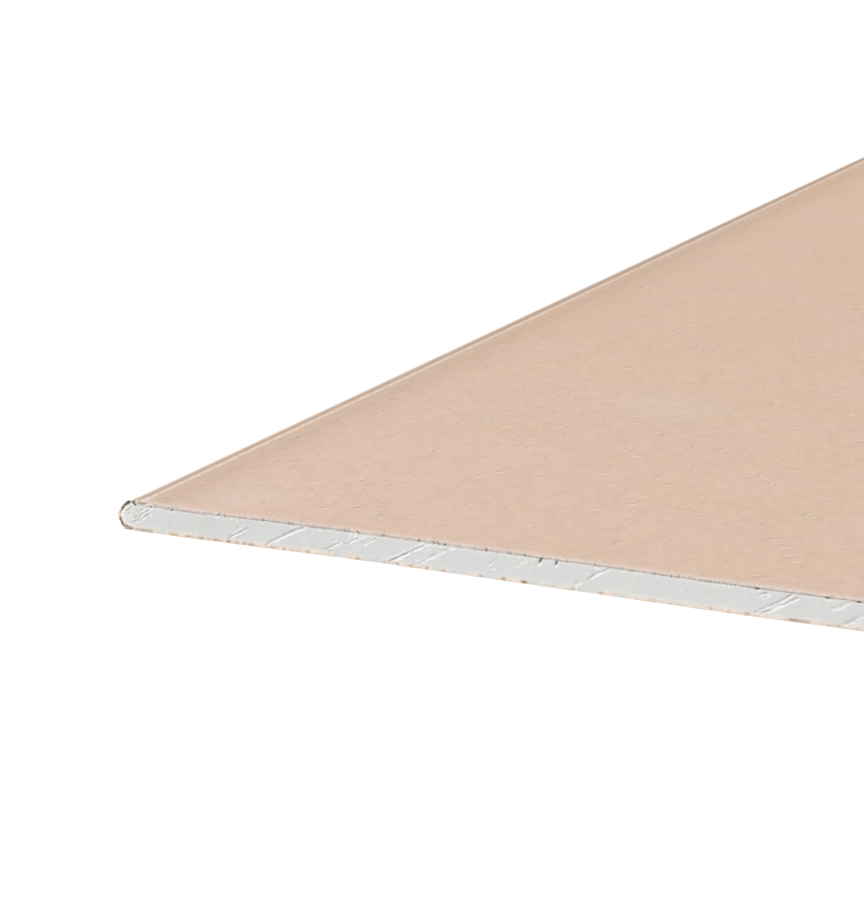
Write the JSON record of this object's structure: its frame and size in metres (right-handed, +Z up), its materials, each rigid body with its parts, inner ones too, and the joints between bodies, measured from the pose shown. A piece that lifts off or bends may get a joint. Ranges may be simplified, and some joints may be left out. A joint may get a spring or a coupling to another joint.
{
  "type": "drywall sheet",
  "caption": "Full sheet of gypsum plasterboard lying flat, back up: paper-faced core with half-round wrapped long edges, lapped papers and square-cut ends.",
  "frame": {"origin": "on the floor below the middle of the sheet, at the centre of the face paper's underside", "axes": "+Z up, out of the back of the sheet; +Y along its length; +X across its width, from one half-round edge to the other"},
  "size_m": [1.25, 2, 0.013],
  "materials": {
    "gypsum": "matt, sawn, finely porous",
    "face_liner": "matt, smooth calendered board liner",
    "back_liner": "matt, uncoated recycled liner with flecks"
  },
  "bodies": {
    "root": {"gypsum_core": "gypsum", "face_paper": "face_liner", "back_paper": "back_liner"}
  },
  "joints": []
}
